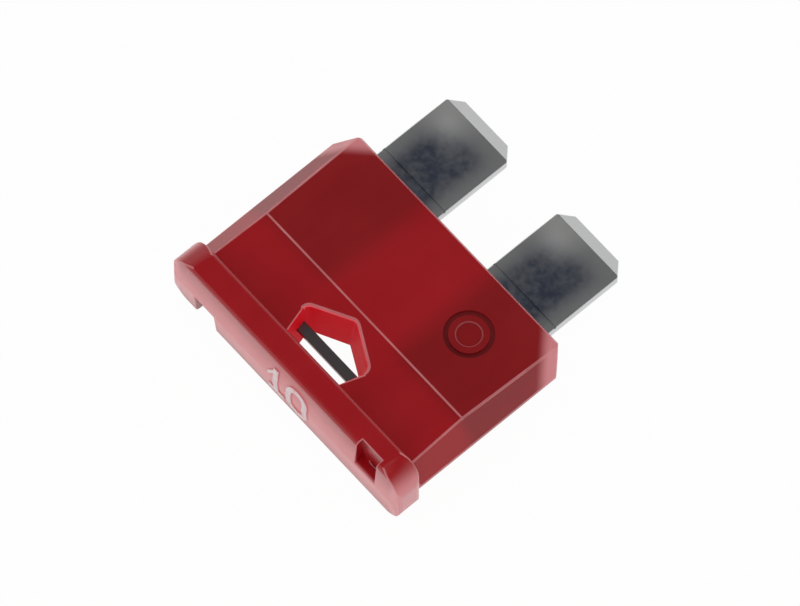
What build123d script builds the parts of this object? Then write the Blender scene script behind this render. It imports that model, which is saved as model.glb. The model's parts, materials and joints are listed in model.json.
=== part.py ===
from build123d import *

import os

# Regular-size automotive blade fuse: a moulded housing over a one-piece stamped fuse element.
# X runs across the head, Y from the head towards the blade tips, Z up through the thickness. The fuse
# lies on the back of its head, with the origin under the middle of its bounding box. Millimetres.

# ---- Overall sizes
OVERALL_LENGTH = 19.2
HEAD_WIDTH = 19.1
HEAD_THICKNESS = 5.1

# ---- Housing, distances from the head end towards the blade tips
CROWN_DROP = 0.2
HEAD_STEP = 2.0
GRIP_RIDGE = 6.05
BODY_END = 13.1

# ---- Housing body: half thicknesses, and the flanks that slope to the parting line
HALF_AT_STEP = 1.2
HALF_AT_RIDGE = 1.35
HALF_AT_END = 1.15
BODY_SIDE_STEP = 0.15
FLANK_INSET = 1.15
PARTING_LAND = 0.1
BODY_CORNER = 1.15

# ---- Rounding of the moulding
HEAD_CORNER_RADIUS = 1.8
HEAD_EDGE_RADIUS = 0.3
HEAD_END_RADIUS = 0.5
FLANK_EDGE_RADIUS = 0.2
END_BEVEL = 0.12

# ---- Window through the body, as it opens on the front face
WINDOW_BASE_HALF = 2.1
WINDOW_SHOULDER_HALF = 2.65
WINDOW_SHOULDER = 4.1
WINDOW_APEX = 5.5
WINDOW_CORNER_RADIUS = 0.45
WINDOW_DRAFT_DEGREES = 10

# ---- Probe notches in the crown
NOTCH_INNER = 5.95
NOTCH_WIDTH = 1.65
NOTCH_DEPTH = 0.45
NOTCH_OFFSET = 0.15
PROBE_HOLE_RADIUS = 0.25

# ---- Staking ring over each blade, and the peg that it drives through the blade
RING_AT = 9.7
RING_OUTER_RADIUS = 1.45
RING_GROOVE_WIDTH = 0.28
RING_GROOVE_DEPTH = 0.14
DISC_RADIUS = 0.75
DISC_DEPTH = 0.07
PEG_RADIUS = 0.55

# ---- Rating number on the crown
NUMBER_RELIEF = 0.1
NUMBER_HEIGHT = 3.0
NUMBER_STROKE = 0.42
NUMBER_SHIFT = 0.35
ONE_WIDTH = 1.3
ZERO_WIDTH = 1.75
DIGIT_GAP = 0.25

# ---- Fuse element
BLADE_WIDTH = 5.2
BLADE_PITCH = 9.3
BLADE_THICKNESS = 0.65
BLADE_EDGE_RADIUS = 0.08
TIP_CORNER = 0.8
TIP_BEVEL_LENGTH = 0.7
TIP_BEVEL_DEPTH = 0.2
TERMINAL_TOP = 1.35
TERMINAL_INNER = 3.1
TERMINAL_SHOULDER = 6.4
LINK_TOP = 3.03
LINK_WIDTH = 0.65
LINK_THICKNESS = 0.3
COIN_LINE_GAP = 0.7
COIN_LINE_WIDTH = 0.14
COIN_LINE_DEPTH = 0.05

# ---- Fit of the element in the housing
ELEMENT_CLEARANCE = 0.05

# ---- Places that follow from the sizes
MIDDLE = HEAD_THICKNESS / 2
BODY_HALF_WIDTH = HEAD_WIDTH / 2 - BODY_SIDE_STEP
BLADE_INNER = (BLADE_PITCH - BLADE_WIDTH) / 2
BLADE_OUTER = (BLADE_PITCH + BLADE_WIDTH) / 2
CAVITY_HALF = BLADE_THICKNESS / 2 + ELEMENT_CLEARANCE
NOTCH_MIDDLE = NOTCH_INNER + NOTCH_WIDTH / 2


def along(distance):
    """Y of a distance measured from the head end."""
    return distance - OVERALL_LENGTH / 2


def body_half(distance):
    """Half thickness of the body between the grip ridge and the blade end."""
    share = (distance - GRIP_RIDGE) / (BODY_END - GRIP_RIDGE)
    return HALF_AT_RIDGE + share * (HALF_AT_END - HALF_AT_RIDGE)


def body_section(half_thickness):
    """Section of the body in the current sketch: the flanks keep one slope at every thickness."""
    slope = FLANK_INSET / (HALF_AT_RIDGE - PARTING_LAND)
    face_half = BODY_HALF_WIDTH - slope * (half_thickness - PARTING_LAND)
    with BuildLine() as outline:
        Polyline(
            (face_half, MIDDLE - half_thickness),
            (BODY_HALF_WIDTH, MIDDLE - PARTING_LAND),
            (BODY_HALF_WIDTH, MIDDLE + PARTING_LAND),
            (face_half, MIDDLE + half_thickness),
            (-face_half, MIDDLE + half_thickness),
            (-BODY_HALF_WIDTH, MIDDLE + PARTING_LAND),
            (-BODY_HALF_WIDTH, MIDDLE - PARTING_LAND),
            (-face_half, MIDDLE - half_thickness),
            close=True,
        )
    section = make_face(outline.edges())
    face_corners = section.vertices().filter_by(lambda vertex: abs(vertex.X) < BODY_HALF_WIDTH - 0.01)
    fillet(face_corners, FLANK_EDGE_RADIUS)


def crown_profile(rise):
    """Side view of the head in the current sketch, its gabled crown raised by rise."""
    peak = along(NUMBER_RELIEF - rise)
    eaves = along(NUMBER_RELIEF + CROWN_DROP - rise)
    step = along(HEAD_STEP)
    with BuildLine() as outline:
        Polyline(
            (step, 0),
            (step, HEAD_THICKNESS),
            (eaves, HEAD_THICKNESS),
            (peak, MIDDLE),
            (eaves, 0),
            close=True,
        )
    make_face(outline.edges())


# ---- Body: a slab that is thickest at the grip ridge, with sloping flanks and cut corners
with BuildPart() as body:
    for distance, half_thickness in (
        (HEAD_STEP / 2, HALF_AT_STEP),
        (HEAD_STEP, HALF_AT_STEP),
        (GRIP_RIDGE, HALF_AT_RIDGE),
        (BODY_END - END_BEVEL, HALF_AT_END),
        (BODY_END, HALF_AT_END - END_BEVEL),
    ):
        with BuildSketch(Plane.XZ.offset(-along(distance))):
            body_section(half_thickness)
    loft(ruled=True)
    for side in (-1, 1):
        with BuildSketch(Plane.XY):
            corner_x = side * BODY_HALF_WIDTH
            with BuildLine():
                Polyline(
                    (corner_x, along(BODY_END)),
                    (corner_x - side * BODY_CORNER, along(BODY_END)),
                    (corner_x, along(BODY_END - BODY_CORNER)),
                    close=True,
                )
            make_face()
        extrude(amount=HEAD_THICKNESS, mode=Mode.SUBTRACT)

# ---- Head: a rounded bar across the fuse, with a shallow gabled crown
with BuildPart() as head:
    with BuildSketch(Plane.XZ.offset(-along(HEAD_STEP))):
        with Locations((0, MIDDLE)):
            RectangleRounded(HEAD_WIDTH, HEAD_THICKNESS, HEAD_CORNER_RADIUS)
    extrude(amount=HEAD_STEP)
    with BuildSketch(Plane.YZ) as side_view:
        crown_profile(0)
        fillet(side_view.vertices() - side_view.vertices().sort_by(Axis.Y)[2:3], HEAD_EDGE_RADIUS)
    extrude(amount=HEAD_WIDTH, both=True, mode=Mode.INTERSECT)
    with BuildSketch(Plane.XY):
        with Locations((0, along((NUMBER_RELIEF + HEAD_STEP) / 2))):
            RectangleRounded(HEAD_WIDTH, HEAD_STEP - NUMBER_RELIEF, HEAD_END_RADIUS)
    extrude(amount=HEAD_THICKNESS, mode=Mode.INTERSECT)

# ---- Rating number, standing on the crown and following its gable
with BuildPart() as number:
    with BuildSketch(Plane.XZ.offset(-along(NUMBER_RELIEF + CROWN_DROP))):
        left = NUMBER_SHIFT - (ONE_WIDTH + DIGIT_GAP + ZERO_WIDTH) / 2
        top = MIDDLE + NUMBER_HEIGHT / 2
        bottom = MIDDLE - NUMBER_HEIGHT / 2
        with Locations((left + ONE_WIDTH / 2, MIDDLE)):
            Rectangle(NUMBER_STROKE, NUMBER_HEIGHT)
        with Locations((left + ONE_WIDTH / 2, bottom + NUMBER_STROKE / 2)):
            Rectangle(ONE_WIDTH, NUMBER_STROKE)
        with BuildLine():
            Polyline(
                (left + ONE_WIDTH / 2, top),
                (left, top - 2 * NUMBER_STROKE),
                (left, top - 3 * NUMBER_STROKE),
                (left + ONE_WIDTH / 2, top - NUMBER_STROKE),
                close=True,
            )
        make_face()
        with Locations((left + ONE_WIDTH + DIGIT_GAP + ZERO_WIDTH / 2, MIDDLE)):
            SlotOverall(NUMBER_HEIGHT, ZERO_WIDTH, rotation=90)
            SlotOverall(
                NUMBER_HEIGHT - 2 * NUMBER_STROKE,
                ZERO_WIDTH - 2 * NUMBER_STROKE,
                rotation=90,
                mode=Mode.SUBTRACT,
            )
    extrude(amount=CROWN_DROP + NUMBER_RELIEF)
    with BuildSketch(Plane.YZ):
        crown_profile(NUMBER_RELIEF)
    extrude(amount=HEAD_WIDTH, both=True, mode=Mode.INTERSECT)

# ---- Window: a gabled opening that narrows towards the back
with BuildPart() as window:
    with BuildSketch(Plane.XY.offset(MIDDLE + HALF_AT_STEP)) as opening:
        with BuildLine():
            Polyline(
                (-WINDOW_BASE_HALF, along(HEAD_STEP)),
                (-WINDOW_SHOULDER_HALF, along(WINDOW_SHOULDER)),
                (0, along(WINDOW_APEX)),
                (WINDOW_SHOULDER_HALF, along(WINDOW_SHOULDER)),
                (WINDOW_BASE_HALF, along(HEAD_STEP)),
                close=True,
            )
        make_face()
        fillet(opening.vertices(), WINDOW_CORNER_RADIUS)
    extrude(amount=-2 * HALF_AT_RIDGE, taper=WINDOW_DRAFT_DEGREES)
    extrude(opening.sketch, amount=MIDDLE, taper=-WINDOW_DRAFT_DEGREES)
    add(head.part, mode=Mode.SUBTRACT)

# ---- Housing: head, body and number in one moulding, cut for the window, the element and the probes
with BuildPart() as housing:
    add(body.part)
    add(head.part)
    add(number.part)
    add(window.part, mode=Mode.SUBTRACT)

    # Pocket for each terminal and its blade, open at the blade end
    outer = BLADE_OUTER + ELEMENT_CLEARANCE
    with BuildSketch(Plane.XY.offset(MIDDLE - CAVITY_HALF)):
        for side in (-1, 1):
            for inner, start in ((TERMINAL_INNER, TERMINAL_TOP), (BLADE_INNER, TERMINAL_SHOULDER)):
                near = inner - ELEMENT_CLEARANCE
                top = start - ELEMENT_CLEARANCE
                with Locations((side * (near + outer) / 2, along((top + BODY_END) / 2))):
                    Rectangle(outer - near, BODY_END - top)
    extrude(amount=2 * CAVITY_HALF, mode=Mode.SUBTRACT)

    # Channel for the link, from one pocket to the other
    channel_half = LINK_THICKNESS / 2 + ELEMENT_CLEARANCE
    with BuildSketch(Plane.XY.offset(MIDDLE - channel_half)):
        with Locations((0, along(LINK_TOP + LINK_WIDTH / 2))):
            Rectangle(2 * TERMINAL_INNER, LINK_WIDTH + 2 * ELEMENT_CLEARANCE)
    extrude(amount=2 * channel_half, mode=Mode.SUBTRACT)

    # Pegs across the cavity, through the blades
    with BuildSketch(Plane.XY.offset(MIDDLE - CAVITY_HALF)):
        for side in (-1, 1):
            with Locations((side * BLADE_PITCH / 2, along(RING_AT))):
                Circle(PEG_RADIUS)
    extrude(amount=2 * CAVITY_HALF)

    # Each of the rest is cut once from the front on the right and once from the back on the left
    notch_floor = NUMBER_RELIEF + CROWN_DROP + NOTCH_DEPTH
    for side in (-1, 1):
        with BuildSketch(Plane.XZ.offset(-along(0))):
            with Locations((side * NOTCH_MIDDLE, MIDDLE + side * (NOTCH_OFFSET + HEAD_THICKNESS / 2))):
                Rectangle(NOTCH_WIDTH, HEAD_THICKNESS)
        extrude(amount=-notch_floor, mode=Mode.SUBTRACT)
        with BuildSketch(Plane.XZ.offset(-along(notch_floor))):
            with Locations((side * NOTCH_MIDDLE, MIDDLE + side * (NOTCH_OFFSET + PROBE_HOLE_RADIUS))):
                Circle(PROBE_HOLE_RADIUS)
        extrude(amount=notch_floor - TERMINAL_TOP, mode=Mode.SUBTRACT)

        face_z = MIDDLE + side * body_half(RING_AT)
        with BuildSketch(Plane.XY.offset(face_z - side * RING_GROOVE_DEPTH)):
            with Locations((side * BLADE_PITCH / 2, along(RING_AT))):
                Circle(RING_OUTER_RADIUS)
                Circle(RING_OUTER_RADIUS - RING_GROOVE_WIDTH, mode=Mode.SUBTRACT)
        extrude(amount=side * HALF_AT_END, mode=Mode.SUBTRACT)
        with BuildSketch(Plane.XY.offset(face_z - side * DISC_DEPTH)):
            with Locations((side * BLADE_PITCH / 2, along(RING_AT))):
                Circle(DISC_RADIUS)
        extrude(amount=side * HALF_AT_END, mode=Mode.SUBTRACT)

# ---- Fuse element: two terminals joined by a thin straight link, in one strip
with BuildPart() as fuse_element:
    with BuildSketch(Plane.XY.offset(MIDDLE - BLADE_THICKNESS / 2)) as blank:
        for side in (-1, 1):
            with BuildLine():
                Polyline(
                    (side * BLADE_INNER, along(OVERALL_LENGTH)),
                    (side * BLADE_OUTER, along(OVERALL_LENGTH)),
                    (side * BLADE_OUTER, along(TERMINAL_TOP)),
                    (side * TERMINAL_INNER, along(TERMINAL_TOP)),
                    (side * TERMINAL_INNER, along(TERMINAL_SHOULDER)),
                    (side * BLADE_INNER, along(TERMINAL_SHOULDER)),
                    close=True,
                )
            make_face()
        chamfer(blank.vertices().group_by(Axis.Y)[-1], TIP_CORNER)
        for side in (-1, 1):
            with Locations((side * BLADE_PITCH / 2, along(RING_AT))):
                Circle(PEG_RADIUS + ELEMENT_CLEARANCE, mode=Mode.SUBTRACT)
    extrude(amount=BLADE_THICKNESS)
    long_edges = fuse_element.edges().filter_by(Axis.Y).filter_by(lambda edge: edge.center().Y > 0)
    fillet(long_edges, BLADE_EDGE_RADIUS)

    # Both faces are bevelled at the tips
    half = BLADE_THICKNESS / 2
    for face in (-1, 1):
        with BuildSketch(Plane.YZ):
            with BuildLine():
                Polyline(
                    (along(OVERALL_LENGTH - TIP_BEVEL_LENGTH), MIDDLE + face * half),
                    (along(OVERALL_LENGTH), MIDDLE + face * half),
                    (along(OVERALL_LENGTH), MIDDLE + face * (half - TIP_BEVEL_DEPTH)),
                    close=True,
                )
            make_face()
        extrude(amount=BLADE_OUTER, both=True, mode=Mode.SUBTRACT)

    # Coined line across the front of each blade, just outside the housing
    with BuildSketch(Plane.XY.offset(MIDDLE + half)):
        with Locations((0, along(BODY_END + COIN_LINE_GAP))):
            Rectangle(2 * BLADE_OUTER, COIN_LINE_WIDTH)
    extrude(amount=-COIN_LINE_DEPTH, mode=Mode.SUBTRACT)

    # The link crosses the window at mid thickness
    with BuildSketch(Plane.XY.offset(MIDDLE - LINK_THICKNESS / 2)):
        with Locations((0, along(LINK_TOP + LINK_WIDTH / 2))):
            Rectangle(2 * TERMINAL_INNER, LINK_WIDTH)
    extrude(amount=LINK_THICKNESS)

os.makedirs("parts", exist_ok=True)

housing.part.label = "housing"
export_step(housing.part, "parts/housing.step")

fuse_element.part.label = "fuse_element"
export_step(fuse_element.part, "parts/fuse_element.step")
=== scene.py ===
"""Looks of a regular-size automotive blade fuse: a translucent red housing over a tinned metal element."""

import json
import logging
import math
from dataclasses import dataclass
from enum import Enum
from typing import Any, Callable, Iterable, Optional, Union

import bmesh
import bpy
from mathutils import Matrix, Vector


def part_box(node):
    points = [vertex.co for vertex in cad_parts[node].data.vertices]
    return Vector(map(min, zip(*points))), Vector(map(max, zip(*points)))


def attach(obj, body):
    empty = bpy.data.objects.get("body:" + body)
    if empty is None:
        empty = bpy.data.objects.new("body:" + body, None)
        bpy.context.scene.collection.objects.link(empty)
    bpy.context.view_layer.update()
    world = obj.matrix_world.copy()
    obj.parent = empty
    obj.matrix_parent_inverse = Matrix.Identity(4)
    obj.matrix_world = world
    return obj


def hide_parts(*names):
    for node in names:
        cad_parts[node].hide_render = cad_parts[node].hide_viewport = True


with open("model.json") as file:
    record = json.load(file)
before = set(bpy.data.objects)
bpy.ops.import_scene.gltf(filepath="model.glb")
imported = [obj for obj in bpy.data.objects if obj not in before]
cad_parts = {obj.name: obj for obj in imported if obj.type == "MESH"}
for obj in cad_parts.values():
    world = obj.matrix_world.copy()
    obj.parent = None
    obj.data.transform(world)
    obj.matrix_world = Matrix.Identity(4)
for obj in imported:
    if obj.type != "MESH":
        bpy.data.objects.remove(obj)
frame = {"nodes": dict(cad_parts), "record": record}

LOG = logging.getLogger("blade_fuse")
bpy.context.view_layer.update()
MM = 0.001
WHITE = (1.0, 1.0, 1.0, 1.0)
BLACK = (0.0, 0.0, 0.0, 1.0)


class Mark(Enum):
    """Face attributes that the finishes read, 0 or 1 on each face."""

    # Faces of rounded edges; the finishes paint highlights on them.
    EDGE = "edge"
    # Window walls; the plastic paints a glow of light on them.
    WALL = "wall"


class Ray(Enum):
    """Kinds of light path that the table and the sky tell apart."""

    CAMERA = "Is Camera Ray"
    MIRRORED = "Is Glossy Ray"
    THROUGH = "Is Transmission Ray"


def mount_place(name: str) -> Vector:
    """Where a mount of the record is, in millimetres."""
    mounts = {mount["name"]: mount for mount in frame["record"]["mounts"]}
    return Vector(mounts[name]["pos_m"]) / MM


# Places on the fuse in millimetres, across the head (x) and from the head to the blade tips (y)
BLADE_X = mount_place("right_blade").x
BODY_END_Y = mount_place("seating_face").y
HEAD_END_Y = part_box("housing")[0].y / MM
HEAD_DEPTH = 2.0
HEAD_STEP_Y = HEAD_END_Y + HEAD_DEPTH
RIDGE_Y = -3.55
RING_Y = 0.1


# ---------------------------------------------------------------- shader building blocks


class Value:
    """A shader socket that takes part in Python arithmetic; each operation adds a Math node."""

    def __init__(self, board: "Board", socket: bpy.types.NodeSocket) -> None:
        """Wrap a socket.

        Args:
            board: the material being wired.
            socket: the output socket that this value stands for.
        """
        self.board = board
        self.socket = socket

    def _math(self, operation: str, first: Any, second: Any = None, clamp: bool = False) -> "Value":
        """Add one Math node.

        Args:
            operation: the Math node's operation.
            first: first operand.
            second: second operand, where the operation has one.
            clamp: keep the result between 0 and 1.

        Returns:
            The node's result.
        """
        inputs = {0: first}
        if second is not None:
            inputs[1] = second
        node = self.board.node("ShaderNodeMath", {"operation": operation, "use_clamp": clamp}, inputs)
        return Value(self.board, node.outputs[0])

    def __add__(self, other: Any) -> "Value":
        """Sum."""
        return self._math("ADD", self, other)

    def __radd__(self, other: Any) -> "Value":
        """Sum, with a plain number on the left."""
        return self._math("ADD", other, self)

    def __sub__(self, other: Any) -> "Value":
        """Difference."""
        return self._math("SUBTRACT", self, other)

    def __rsub__(self, other: Any) -> "Value":
        """Difference, with a plain number on the left."""
        return self._math("SUBTRACT", other, self)

    def __mul__(self, other: Any) -> "Value":
        """Product."""
        return self._math("MULTIPLY", self, other)

    def __rmul__(self, other: Any) -> "Value":
        """Product, with a plain number on the left."""
        return self._math("MULTIPLY", other, self)

    def __truediv__(self, other: Any) -> "Value":
        """Quotient."""
        return self._math("DIVIDE", self, other)

    def __rtruediv__(self, other: Any) -> "Value":
        """Quotient, with a plain number on the left."""
        return self._math("DIVIDE", other, self)

    def magnitude(self) -> "Value":
        """Absolute value."""
        return self._math("ABSOLUTE", self)

    def root(self) -> "Value":
        """Square root."""
        return self._math("SQRT", self)

    def clamped(self) -> "Value":
        """This value kept between 0 and 1."""
        return self._math("ADD", self, 0.0, clamp=True)

    def rise(self, low: float, high: float) -> "Value":
        """Smooth step.

        Args:
            low: where the step starts.
            high: where it has reached 1.

        Returns:
            0 below low, 1 above high, smooth between them.
        """
        node = self.board.node(
            "ShaderNodeMapRange",
            {"interpolation_type": "SMOOTHSTEP"},
            {"Value": self, "From Min": low, "From Max": high},
        )
        return Value(self.board, node.outputs["Result"])


Input = Union[Value, bpy.types.NodeSocket, float, int, tuple]


@dataclass(frozen=True)
class Spot:
    """A surface point, and the lowest and highest corner of its piece, in millimetres."""

    x: Value
    y: Value
    z: Value
    low: Vector
    high: Vector

    def above_middle(self) -> Value:
        """Height above the piece's middle plane."""
        return self.z - (self.low.z + self.high.z) / 2

    def half_thickness(self) -> float:
        """Half the piece's thickness."""
        return (self.high.z - self.low.z) / 2


class Board:
    """One material or world node tree while it is being wired."""

    def __init__(self, tree: bpy.types.NodeTree) -> None:
        """Start an empty tree.

        Args:
            tree: the node tree to fill.
        """
        self.tree = tree
        self.tree.nodes.clear()

    def node(
        self,
        kind: str,
        settings: Optional[dict[str, Any]] = None,
        inputs: Optional[dict[Union[int, str], Input]] = None,
    ) -> bpy.types.Node:
        """Add a node.

        Args:
            kind: the node's type.
            settings: attributes of the node, set before its sockets.
            inputs: a value or a link for each socket, by name or number.

        Returns:
            The new node.
        """
        made = self.tree.nodes.new(kind)
        for name, setting in (settings or {}).items():
            setattr(made, name, setting)
        for name, given in (inputs or {}).items():
            self.feed(made.inputs[name], given)
        return made

    def feed(self, socket: bpy.types.NodeSocket, given: Input) -> None:
        """Set or link one input.

        Args:
            socket: the input.
            given: a plain value, or what to link it to.
        """
        if isinstance(given, Value):
            self.tree.links.new(given.socket, socket)
        elif isinstance(given, bpy.types.NodeSocket):
            self.tree.links.new(given, socket)
        else:
            socket.default_value = given

    def value(self, node: bpy.types.Node, output: Union[int, str] = 0) -> Value:
        """One output of a node as a value for arithmetic."""
        return Value(self, node.outputs[output])

    def position(self) -> bpy.types.NodeSocket:
        """The surface point in the piece's own metres."""
        return self.node("ShaderNodeTexCoord").outputs["Object"]

    def spot(self, point: bpy.types.NodeSocket, box: tuple[Vector, Vector]) -> Spot:
        """Split a point into millimetres.

        Args:
            point: the surface point in metres.
            box: lowest and highest corner of its piece, in metres.

        Returns:
            The point and the box in millimetres.
        """
        split = self.node("ShaderNodeSeparateXYZ", inputs={0: point})
        x, y, z = (self.value(split, index) / MM for index in range(3))
        return Spot(x, y, z, box[0] / MM, box[1] / MM)

    def marked(self, mark: Mark) -> Value:
        """1 on the faces of the piece that have this mark, 0 elsewhere."""
        settings = {"attribute_type": "GEOMETRY", "attribute_name": mark.value}
        return self.value(self.node("ShaderNodeAttribute", settings), "Fac")

    def ray(self, ray: Ray) -> Value:
        """1 on this kind of light path, 0 on the others."""
        return self.value(self.node("ShaderNodeLightPath"), ray.value)

    def noise(self, point: bpy.types.NodeSocket, size_mm: float, detail: float = 3.0) -> Value:
        """Noise.

        Args:
            point: where it is read, in metres.
            size_mm: size of one blotch.
            detail: how many finer layers it has.

        Returns:
            Values around 0.5.
        """
        inputs = {"Vector": point, "Scale": 1.0 / (size_mm * MM), "Detail": detail}
        return self.value(self.node("ShaderNodeTexNoise", inputs=inputs))

    def drawn_out(self, point: bpy.types.NodeSocket, share: float) -> bpy.types.NodeSocket:
        """The point with its Y scaled by a share, for a pattern that runs along the fuse."""
        return self.node("ShaderNodeMapping", inputs={"Vector": point, "Scale": (1.0, share, 1.0)}).outputs[0]

    def blend(self, share: Input, first: Input, second: Input) -> bpy.types.NodeSocket:
        """Mix two colours.

        Args:
            share: 0 gives the first colour, 1 the second.
            first: RGBA or a link.
            second: RGBA or a link.

        Returns:
            The mixed colour.
        """
        node = self.node("ShaderNodeMix", {"data_type": "RGBA"}, {0: share})
        colours = [socket for socket in node.inputs if socket.type == "RGBA"]
        self.feed(colours[0], first)
        self.feed(colours[1], second)
        return next(socket for socket in node.outputs if socket.type == "RGBA")

    def bump(self, height: Value, distance_mm: float, strength: float) -> bpy.types.NodeSocket:
        """Bump from a height.

        Args:
            height: the relief, 0 to 1.
            distance_mm: depth that a height of 1 stands for.
            strength: how much of it is felt.

        Returns:
            The bent normal.
        """
        inputs = {"Height": height, "Distance": distance_mm * MM, "Strength": strength}
        return self.node("ShaderNodeBump", inputs=inputs).outputs["Normal"]

    def finish(self, shader: bpy.types.NodeSocket, kind: str = "ShaderNodeOutputMaterial") -> None:
        """Send a shader to the tree's output."""
        self.node(kind, inputs={"Surface": shader})


def new_material(name: str) -> tuple[bpy.types.Material, Board]:
    """Make a material with an empty node tree.

    Args:
        name: the material's name.

    Returns:
        The material and the board that wires it.
    """
    material = bpy.data.materials.new(name)
    material.use_nodes = True
    return material, Board(material.node_tree)


# ---------------------------------------------------------------- finishes


@dataclass(frozen=True)
class RedPlastic:
    """Translucent red moulding with a rougher crown and a whitened number. Painted light: a pale sheen of
    reflection on the crown, the head's ends and the body's corners, highlights on the edges and ring lips,
    shade in the ring grooves and over the metal, and a glow on the window walls.
    """

    # Painted shade: darker red where the metal behind the translucent plastic takes away light; bright is the
    # red away from the metal.
    shaded_red: tuple = (0.29, 0.005, 0.008, 1.0)
    bright: tuple = (0.44, 0.006, 0.012, 1.0)
    # Painted glow: emission on the window walls standing in for light passing through the plastic; wall is
    # their saturated red.
    painted_glow: tuple = (0.24, 0.0, 0.004, 1.0)
    # Painted highlight: pale pink on rounded edges, the window rim, the ridge, the body's end bevel and the
    # ring lips, standing in for light the edges catch.
    edge: tuple = (0.90, 0.36, 0.38, 1.0)
    # Painted sheen: pale pink standing in for the reflection of the bright surroundings on the crown, the
    # head's ends and the body's corners.
    painted_sheen_colour: tuple = (0.93, 0.34, 0.36, 1.0)
    stamp: tuple = (0.95, 0.86, 0.87, 1.0)
    # Painted shade colour for the ring grooves.
    groove_shade: tuple = (0.10, 0.004, 0.006, 1.0)
    wall: tuple = (0.42, 0.0, 0.004, 1.0)
    roughness: float = 0.2
    transmission: float = 0.15
    ior: float = 1.53
    number_x: tuple = (-1.45, 2.15)
    number_half_height: float = 1.56
    number_soft: float = 0.05
    crown_drop: float = 0.2
    relief: float = 0.1
    crown_depth: float = 0.36
    end_fade: float = 0.9
    corner_start: float = 10.1
    corner_fade: float = 1.1
    groove_radii: tuple = (1.17, 1.45)
    groove_soft: float = 0.04
    disc_radius: float = 0.75
    lip_width: float = 0.06
    metal_start: float = 2.0
    metal_fade: float = 1.6

    def number(self, spot: Spot) -> Value:
        """Where the raised number is.

        Args:
            spot: the surface point.

        Returns:
            1 on the number's raised faces, 0 elsewhere.
        """
        off_middle = spot.above_middle().magnitude()
        gable = off_middle * (self.crown_drop / spot.half_thickness()) + (spot.low.y + self.relief)
        proud = (gable - spot.y).rise(self.relief * 0.35, self.relief * 0.8)
        start, end = self.number_x
        across = (spot.x - start).rise(0.0, self.number_soft) * (end - spot.x).rise(0.0, self.number_soft)
        return proud * across * (self.number_half_height - off_middle).rise(0.0, self.number_soft)

    def crown(self, spot: Spot) -> Value:
        """1 on the crown of the head, fading out round its edge."""
        return (spot.low.y + self.crown_depth - spot.y).rise(0.0, 0.25)

    def painted_sheen(self, spot: Spot, cloud: Value) -> Value:
        """Where a painted sheen, standing in for reflected light, makes the plastic pale.

        Args:
            spot: the surface point.
            cloud: unevenness of the surface.

        Returns:
            Share of the painted sheen colour, on the crown, the ends of the head and the corners of the body.
        """
        lower = (0.1 - spot.above_middle()).rise(0.0, 0.2)
        head = (HEAD_STEP_Y - spot.y).rise(-0.1, 0.1)
        ends = head * (spot.x.magnitude() - (spot.high.x - self.end_fade)).rise(0.0, self.end_fade)
        diagonal = spot.x.magnitude() + spot.y
        corner = diagonal.rise(self.corner_start, self.corner_start + self.corner_fade)
        crown = self.crown(spot) * (0.9 + 0.1 * lower)
        return ((crown + 0.8 * ends + 0.8 * corner) * (0.85 + 0.35 * cloud)).clamped()

    def ringed(self, board: Board, spot: Spot, under: bpy.types.NodeSocket) -> bpy.types.NodeSocket:
        """Paint light and shade on the staking rings.

        Args:
            board: the material being wired.
            spot: the surface point.
            under: colour of the plastic round the rings.

        Returns:
            That colour with painted shade in the groove and a painted highlight on the disc's lip, on the
            front right and the back left.
        """
        across = spot.x.magnitude() - BLADE_X
        along = spot.y - RING_Y
        radius = (across * across + along * along).root()
        has_ring = (spot.x * spot.above_middle()).rise(0.0, 1.0)
        inner, outer = self.groove_radii
        soft = self.groove_soft
        # Painted shade in the ring groove, then a painted highlight on the disc's lip.
        groove_shade_share = has_ring * (radius - inner).rise(-soft, soft) * (outer - radius).rise(-soft, soft)
        rim = radius - self.disc_radius
        lip_highlight = has_ring * rim.rise(-self.lip_width, 0.0) * (self.lip_width - rim).rise(0.0, self.lip_width)
        return board.blend(0.3 * lip_highlight, board.blend(0.5 * groove_shade_share, under, self.groove_shade), self.edge)

    def colour(
        self, board: Board, point: bpy.types.NodeSocket, spot: Spot, flow: Value, stamped: Value
    ) -> bpy.types.NodeSocket:
        """Colour of the plastic.

        Args:
            board: the material being wired.
            point: the surface point in metres.
            spot: the same point in millimetres.
            flow: streaks that the moulding left in the plastic.
            stamped: where the number is.

        Returns:
            The base colour.
        """
        cloud = board.noise(point, 1.6, 4.0)
        # Painted shade over the blades, where the metal behind the plastic darkens it; flow streaks move the
        # mix a little.
        over_blade = (spot.x.magnitude() - self.metal_start).rise(0.0, self.metal_fade)
        metal_shade = over_blade * (spot.y - RIDGE_Y).rise(-0.8, 0.3)
        body = board.blend((0.8 - 0.8 * metal_shade + 0.2 * flow).clamped(), self.shaded_red, self.bright)
        # Window walls in a saturated red, under the painted glow of the emission below.
        walled = board.blend(board.marked(Mark.WALL), self.ringed(board, spot, body), self.wall)
        # Painted sheen of reflected light on the crown, the ends of the head and the body's corners.
        pale = board.blend(self.painted_sheen(spot, cloud), walled, self.painted_sheen_colour)
        # Painted edge highlights on the faces marked as rounded edges.
        edged = board.blend(board.marked(Mark.EDGE) * (0.3 + 0.5 * cloud), pale, self.edge)
        # Real wear of the whitened number; only here does this noise mean wear.
        wear_or_edge_highlight = board.noise(point, 0.35, 4.0).rise(0.30, 0.55)
        return board.blend(stamped * (0.55 + 0.35 * wear_or_edge_highlight), edged, self.stamp)

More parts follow.
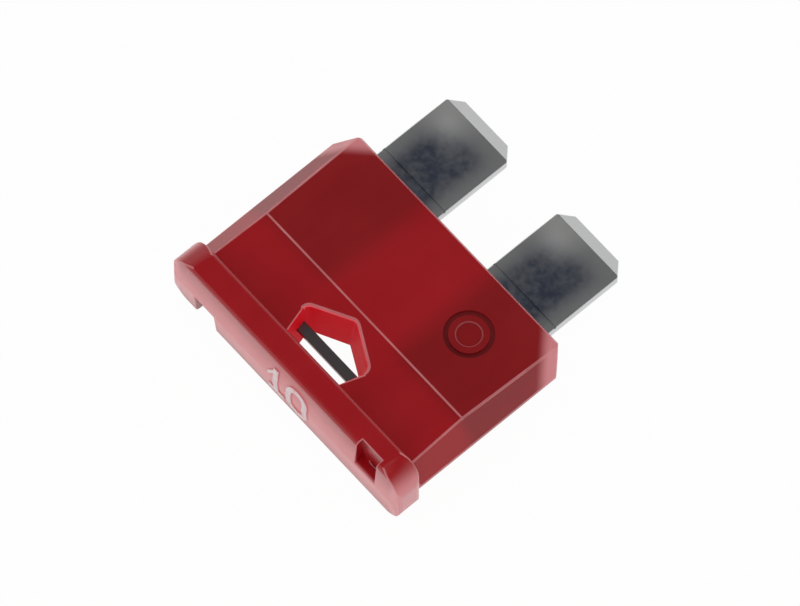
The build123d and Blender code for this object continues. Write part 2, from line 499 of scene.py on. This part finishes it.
    def build(self, box: tuple[Vector, Vector]) -> bpy.types.Material:
        """Wire the plastic.

        Args:
            box: lowest and highest corner of the housing, in metres.

        Returns:
            The material.
        """
        material, board = new_material("red_plastic")
        point = board.position()
        spot = board.spot(point, box)
        flow = board.noise(board.drawn_out(point, 0.45), 3.2, 3.0).rise(0.3, 0.7)
        stamped = self.number(spot)
        wall = board.marked(Mark.WALL)
        roughness = self.roughness + 0.06 * flow + 0.15 * self.crown(spot) + 0.1 * stamped + 0.45 * wall
        grain = 0.6 * board.noise(point, 0.5, 4.0) + 0.4 * board.noise(point, 0.12, 2.0)
        shader = board.node(
            "ShaderNodeBsdfPrincipled",
            inputs={
                "Base Color": self.colour(board, point, spot, flow, stamped),
                "Roughness": roughness,
                "IOR": self.ior,
                "Transmission Weight": self.transmission,
                # Painted glow of light through the plastic, on the window walls only.
                "Emission Color": board.blend(wall, BLACK, self.painted_glow),
                "Emission Strength": 1.0,
                "Normal": board.bump(grain, 0.02, 0.3),
            },
        )
        board.finish(shader.outputs[0])
        return material


@dataclass(frozen=True)
class TinnedMetal:
    """Tin plate, darker and duller towards the middle of each blade, with painted highlights on its tip
    bevel, edges and tip corners, and fine rolling marks.
    """

    plate: tuple = (0.60, 0.605, 0.61, 1.0)
    # Darker tone towards the middle of each blade.
    cloud: tuple = (0.09, 0.105, 0.15, 1.0)
    # Painted highlight colour, near-white.
    bright: tuple = (0.97, 0.97, 0.96, 1.0)
    shaded: tuple = (0.17, 0.14, 0.15, 1.0)
    roughness: float = 0.28
    blade_half: float = 2.6
    cloud_fade: float = 1.5
    bevel_length: float = 0.7
    clear_tip: tuple = (0.8, 1.6)
    corner_reach: tuple = (3.6, 2.6)
    corner_side: float = 0.8

    def clouded(self, spot: Spot, mottle: Value) -> Value:
        """How dull the plate is.

        Args:
            spot: the surface point.
            mottle: fine unevenness.

        Returns:
            1 where it is dullest, in the middle of each blade, down to 0 at its edges.
        """
        off_centre = (spot.x.magnitude() - BLADE_X).magnitude()
        start, fade = self.clear_tip
        from_tip = spot.high.y - start - spot.y
        inner = (self.blade_half - off_centre).rise(0.0, self.cloud_fade) * from_tip.rise(0.0, fade)
        return inner * (0.7 + 0.3 * mottle.rise(0.3, 0.66))

    def corner(self, spot: Spot) -> Value:
        """Where the painted highlight on the left corner of each blade's flat tip goes: 1 there, fading
        towards the rest of the blade.
        """
        flat = (spot.high.y - self.bevel_length - spot.y).rise(0.0, 0.05)
        across = spot.x - spot.x / spot.x.magnitude() * BLADE_X
        start, fade = self.corner_reach
        near_tip = (spot.y - (spot.high.y - start)).rise(0.0, fade)
        return flat * near_tip * (self.corner_side - across).rise(0.0, fade)

    def build(self, box: tuple[Vector, Vector]) -> bpy.types.Material:
        """Wire the metal.

        Args:
            box: lowest and highest corner of the element, in metres.

        Returns:
            The material.
        """
        material, board = new_material("tinned_metal")
        point = board.position()
        spot = board.spot(point, box)
        mottle = 0.5 * board.noise(point, 1.5, 4.0) + 0.5 * board.noise(point, 0.4, 5.0)
        clouded = self.clouded(spot, mottle)
        rolled = board.noise(board.drawn_out(point, 0.08), 0.12, 2.0)
        bevelled = (spot.y - (spot.high.y - self.bevel_length)).rise(-0.03, 0.03)
        # Painted highlight on the left corner of each tip, the tip bevel and the rounded edges.
        painted_highlight = (self.corner(spot) + 0.2 * bevelled + 0.3 * board.marked(Mark.EDGE)).clamped()
        inside = (BODY_END_Y - spot.y).rise(0.0, 0.2)

        lit = board.blend(painted_highlight, board.blend(clouded, self.plate, self.cloud), self.bright)
        shader = board.node(
            "ShaderNodeBsdfPrincipled",
            inputs={
                "Base Color": board.blend(inside * 0.85, lit, self.shaded),
                "Metallic": 1.0,
                "Roughness": self.roughness + 0.12 * clouded + 0.06 * rolled,
                "Normal": board.bump(0.6 * rolled + 0.4 * mottle, 0.012, 0.35),
            },
        )
        board.finish(shader.outputs[0])
        return material


# ---------------------------------------------------------------- pieces


@dataclass(frozen=True)
class EdgeRounding:
    """How the edges of a copied piece are rounded."""

    width_mm: float
    angle_deg: float
    smooth_deg: float
    segments: int = 2
    rim_width_mm: float = 0.15
    rim_segments: int = 4


def is_sharp(edge: bmesh.types.BMEdge, angle_deg: float) -> bool:
    """Whether an edge's two faces meet at more than an angle."""
    return edge.is_manifold and edge.calc_face_angle(0.0) > math.radians(angle_deg)


def round_edges(
    work: bmesh.types.BMesh,
    edges: list[bmesh.types.BMEdge],
    width_mm: float,
    segments: int,
    mark: bmesh.types.BMLayerItem,
) -> None:
    """Round edges of a mesh and mark the new faces.

    Args:
        work: the mesh being made.
        edges: the edges to round.
        width_mm: width of the rounding.
        segments: faces across the rounding.
        mark: the face attribute that is set to 1 on the new faces.
    """
    if not edges:
        return
    made = bmesh.ops.bevel(
        work,
        geom=edges,
        offset=width_mm * MM,
        offset_type="OFFSET",
        segments=segments,
        profile=0.5,
        affect="EDGES",
        material=-1,
        clamp_overlap=False,
    )
    for face in made["faces"]:
        face[mark] = 1.0


def rounded_copy(
    node: str,
    name: str,
    rounding: EdgeRounding,
    rounded: Callable[[bmesh.types.BMEdge, bool], bool],
    wear_or_edge_highlight: Callable[[bmesh.types.BMFace], bool],
    wall: Callable[[bmesh.types.BMFace], bool],
    rim: Callable[[bmesh.types.BMEdge], bool],
) -> bpy.types.Object:
    """Copy a CAD node as one welded mesh with rounded edges and smooth shading.

    Args:
        node: the CAD node.
        name: name of the new piece.
        rounding: width of the rounding, the angle above which an edge is sharp, and the shading limit.
        rounded: picks the edges to round, from the edge and whether it is sharp.
        wear_or_edge_highlight: picks the faces that look like a rounded edge already; the painted edge
            highlight goes on them.
        wall: picks the faces whose "wall" attribute is 1.
        rim: picks the edges that get the wider rounding of a rim.

    Returns:
        The new object, at the origin, with its place in its mesh. Its "edge" attribute is 1 on rounded edges.
    """
    mesh = bpy.data.meshes.new(name)
    work = bmesh.new()
    work.from_mesh(frame["nodes"][node].data)
    bmesh.ops.remove_doubles(work, verts=work.verts, dist=0.0005 * MM)
    bmesh.ops.dissolve_limit(
        work,
        angle_limit=math.radians(0.4),
        use_dissolve_boundaries=False,
        verts=work.verts,
        edges=work.edges,
        delimit=set(),
    )
    bmesh.ops.recalc_face_normals(work, faces=work.faces)
    edge_mark = work.faces.layers.float.new(Mark.EDGE.value)
    wall_mark = work.faces.layers.float.new(Mark.WALL.value)
    for face in work.faces:
        face[wall_mark] = 1.0 if wall(face) else 0.0
        face[edge_mark] = 1.0 if wear_or_edge_highlight(face) else 0.0
    rims = [edge for edge in work.edges if is_sharp(edge, rounding.angle_deg) and rim(edge)]
    round_edges(work, rims, rounding.rim_width_mm, rounding.rim_segments, edge_mark)
    flush = [edge for edge in work.edges if edge.is_manifold]
    others = [edge for edge in flush if rounded(edge, is_sharp(edge, rounding.angle_deg))]
    round_edges(work, others, rounding.width_mm, rounding.segments, edge_mark)
    low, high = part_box(node)
    for corner in work.verts:
        corner.co = [min(max(place, low[axis]), high[axis]) for axis, place in enumerate(corner.co)]
    for face in work.faces:
        face.smooth = True
    for edge in work.edges:
        edge.smooth = edge.calc_face_angle(0.0) < math.radians(rounding.smooth_deg)
    work.to_mesh(mesh)
    work.free()
    piece = bpy.data.objects.new(name, mesh)
    bpy.context.scene.collection.objects.link(piece)
    weighting = piece.modifiers.new("flat_faces_stay_flat", "WEIGHTED_NORMAL")
    weighting.keep_sharp = True
    weighting.weight = 100
    return piece


@dataclass
class Housing:
    """The red moulding: head with number and probe notches, body with window and staking rings."""

    node: str = "housing"
    rounding: EdgeRounding = EdgeRounding(width_mm=0.06, angle_deg=25.0, smooth_deg=50.0)
    finish: RedPlastic = RedPlastic()
    bevel_start: float = 3.37
    bevel_clearance: float = 0.1
    end_face_y: float = 0.95
    leaning_z: tuple = (0.76, 0.998)
    upright_z: float = 0.5
    ring_reach: float = 1.7
    window_half: float = 2.8
    window_y: tuple = (-7.55, -4.0)
    rim_z: float = 3.6
    rim_y: tuple = (-7.2, -4.0)
    same_mm: float = 0.01

    def on_ring(self, place: Vector) -> bool:
        """Whether a point, in millimetres, is on a staking ring."""
        return math.hypot(abs(place.x) - BLADE_X, place.y - RING_Y) < self.ring_reach

    def on_rim(self, edge: bmesh.types.BMEdge) -> bool:
        """Whether an edge is the front rim of the window, clear of the head."""
        ends = [corner.co / MM for corner in edge.verts]
        return all(
            abs(end.x) < self.window_half and end.z > self.rim_z and self.rim_y[0] < end.y < self.rim_y[1]
            for end in ends
        )

    def is_rounded(self, edge: bmesh.types.BMEdge, sharp: bool) -> bool:
        """Whether an edge is rounded here.

        Args:
            edge: an edge of the moulding.
            sharp: whether its faces meet at a real angle.

        Returns:
            True for outward edges away from the rings and the bevelled end, and for the ridge.
        """
        ends = [corner.co / MM for corner in edge.verts]
        if all(abs(end.y - RIDGE_Y) < self.same_mm for end in ends):
            return True
        limit = self.bevel_start - self.bevel_clearance
        away = not any(end.y > limit or self.on_ring(end) for end in ends)
        return sharp and edge.is_convex and away

    def gets_edge_highlight(self, face: bmesh.types.BMFace) -> bool:
        """Whether a face of the body is a narrow rounding or the bevel at its end, where the painted edge
        highlight goes.
        """
        centre = face.calc_center_median() / MM
        bevelled = centre.y > self.bevel_start and abs(face.normal.y) < self.end_face_y
        leaning = self.leaning_z[0] < abs(face.normal.z) < self.leaning_z[1]
        return bevelled or (centre.y > HEAD_STEP_Y and leaning and not self.on_ring(centre))

    def in_window(self, face: bmesh.types.BMFace) -> bool:
        """Whether a face is a wall of the window."""
        centre = face.calc_center_median() / MM
        upright = abs(face.normal.z) < self.upright_z
        return upright and abs(centre.x) < self.window_half and self.window_y[0] < centre.y < self.window_y[1]

    def build(self) -> bpy.types.Object:
        """Make the shell that stands for the moulding.

        Returns:
            The finished piece.
        """
        shell = rounded_copy(
            self.node,
            "housing_shell",
            self.rounding,
            rounded=self.is_rounded,
            wear_or_edge_highlight=self.gets_edge_highlight,
            wall=self.in_window,
            rim=self.on_rim,
        )
        shell.data.materials.clear()
        shell.data.materials.append(self.finish.build(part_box(self.node)))
        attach(shell, "root")
        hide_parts(self.node)
        return shell


@dataclass
class FuseElement:
    """The metal stamping: two blades and the link between them."""

    node: str = "fuse_element"
    coin_line: tuple = (4.0, 4.5)
    rounding: EdgeRounding = EdgeRounding(width_mm=0.03, angle_deg=40.0, smooth_deg=12.0)
    finish: TinnedMetal = TinnedMetal()

    def is_rounded(self, edge: bmesh.types.BMEdge, sharp: bool) -> bool:
        """Whether an edge is a cut edge of the sheet, and not a side of the coined line."""
        ends = [corner.co.y / MM for corner in edge.verts]
        return sharp and not any(self.coin_line[0] < end < self.coin_line[1] for end in ends)

    def build(self) -> bpy.types.Object:
        """Make the strip that stands for the stamping.

        Returns:
            The finished piece.
        """
        strip = rounded_copy(
            self.node,
            "element_strip",
            self.rounding,
            rounded=self.is_rounded,
            wear_or_edge_highlight=lambda face: False,
            wall=lambda face: False,
            rim=lambda edge: False,
        )
        strip.data.materials.clear()
        strip.data.materials.append(self.finish.build(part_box(self.node)))
        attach(strip, "root")
        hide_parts(self.node)
        return strip


# ---------------------------------------------------------------- studio


@dataclass
class Studio:
    """White table, soft sky that is darker overhead, one broad lamp, and the camera."""

    aim: tuple = (0.0, -0.0015, 0.00255)
    azimuth_deg: float = 48.8
    elevation_deg: float = 66.6
    distance: float = 0.757
    view_width: float = 0.044395
    shift_right_mm: float = 0.445
    shift_up_mm: float = -0.03
    zenith: float = 0.13
    horizon: float = 0.92
    lamp_watts: float = 0.35
    lamp_size: float = 0.25
    lamp_place: tuple = (0.05, -0.05, 0.4)
    table_half: float = 1.5
    table_drop: float = 0.00002
    paper: tuple = (0.85, 0.85, 0.85, 1.0)

    def build(self) -> None:
        """Set up the table, the light and the camera."""
        self.table()
        self.sky()
        self.lamp()
        self.camera()

    def table(self) -> None:
        """Lay a wide white floor under the fuse."""
        work = bmesh.new()
        bmesh.ops.create_grid(work, x_segments=1, y_segments=1, size=self.table_half)
        mesh = bpy.data.meshes.new("table")
        work.to_mesh(mesh)
        work.free()
        floor = bpy.data.objects.new("table", mesh)
        floor.location.z = -self.table_drop
        bpy.context.scene.collection.objects.link(floor)
        material, board = new_material("white_table")
        seen = board.ray(Ray.CAMERA)
        mirrored = board.ray(Ray.MIRRORED)
        through = board.ray(Ray.THROUGH)
        white = board.node("ShaderNodeEmission", inputs={"Color": WHITE, "Strength": 1.0})
        paper = board.node("ShaderNodeBsdfDiffuse", inputs={"Color": self.paper})
        share = (seen * 0.97 + mirrored * 0.9 + through * 0.6).clamped()
        mixed = board.node("ShaderNodeMixShader", inputs={0: share, 1: paper.outputs[0], 2: white.outputs[0]})
        board.finish(mixed.outputs[0])
        mesh.materials.append(material)

    def sky(self) -> None:
        """Light the scene from a sky that is bright around the horizon and dim overhead."""
        world = bpy.data.worlds.new("soft_sky")
        world.use_nodes = True
        bpy.context.scene.world = world
        board = Board(world.node_tree)
        direction = board.node("ShaderNodeTexCoord").outputs["Generated"]
        split = board.node("ShaderNodeSeparateXYZ", inputs={0: direction})
        height = board.value(split, 2)
        dim = height.rise(0.55, 0.9)
        strength = self.horizon + (self.zenith - self.horizon) * dim
        seen = board.ray(Ray.CAMERA)
        level = seen + (1 - seen) * strength
        background = board.node("ShaderNodeBackground", inputs={"Color": WHITE, "Strength": level})
        board.finish(background.outputs[0], "ShaderNodeOutputWorld")

    def lamp(self) -> None:
        """Hang one broad soft lamp overhead that lights the colour without glinting."""
        data = bpy.data.lights.new("overhead", "AREA")
        data.shape = "DISK"
        data.size = self.lamp_size
        data.energy = self.lamp_watts
        lamp = bpy.data.objects.new("overhead", data)
        lamp.location = self.lamp_place
        lamp.rotation_euler = (Vector(self.aim) - lamp.location).to_track_quat("-Z", "Y").to_euler()
        lamp.visible_glossy = False
        bpy.context.scene.collection.objects.link(lamp)

    def camera(self) -> None:
        """Aim the camera down at the fuse from the head side."""
        azimuth = math.radians(self.azimuth_deg)
        elevation = math.radians(self.elevation_deg)
        back = Vector(
            (
                math.sin(azimuth) * math.cos(elevation),
                -math.cos(azimuth) * math.cos(elevation),
                math.sin(elevation),
            )
        )
        right = Vector((math.cos(azimuth), math.sin(azimuth), 0.0))
        up = back.cross(right)
        centre = Vector(self.aim) + right * (self.shift_right_mm * MM) + up * (self.shift_up_mm * MM)
        data = bpy.data.cameras.new("camera")
        data.sensor_width = 36.0
        data.lens = data.sensor_width * self.distance / self.view_width
        data.clip_start = 0.01
        data.clip_end = 10.0
        camera = bpy.data.objects.new("camera", data)
        camera.location = centre + back * self.distance
        camera.rotation_euler = (-back).to_track_quat("-Z", "Y").to_euler()
        bpy.context.scene.collection.objects.link(camera)
        bpy.context.scene.camera = camera


def main() -> None:
    """Build the housing, the element and the studio."""
    logging.basicConfig(level=logging.INFO, format="%(name)s: %(message)s")
    bpy.context.scene.view_settings.view_transform = "Standard"
    for piece in (Housing().build(), FuseElement().build()):
        LOG.info("%s: %d faces", piece.name, len(piece.data.polygons))
    Studio().build()


if __name__ == "__main__":
    main()
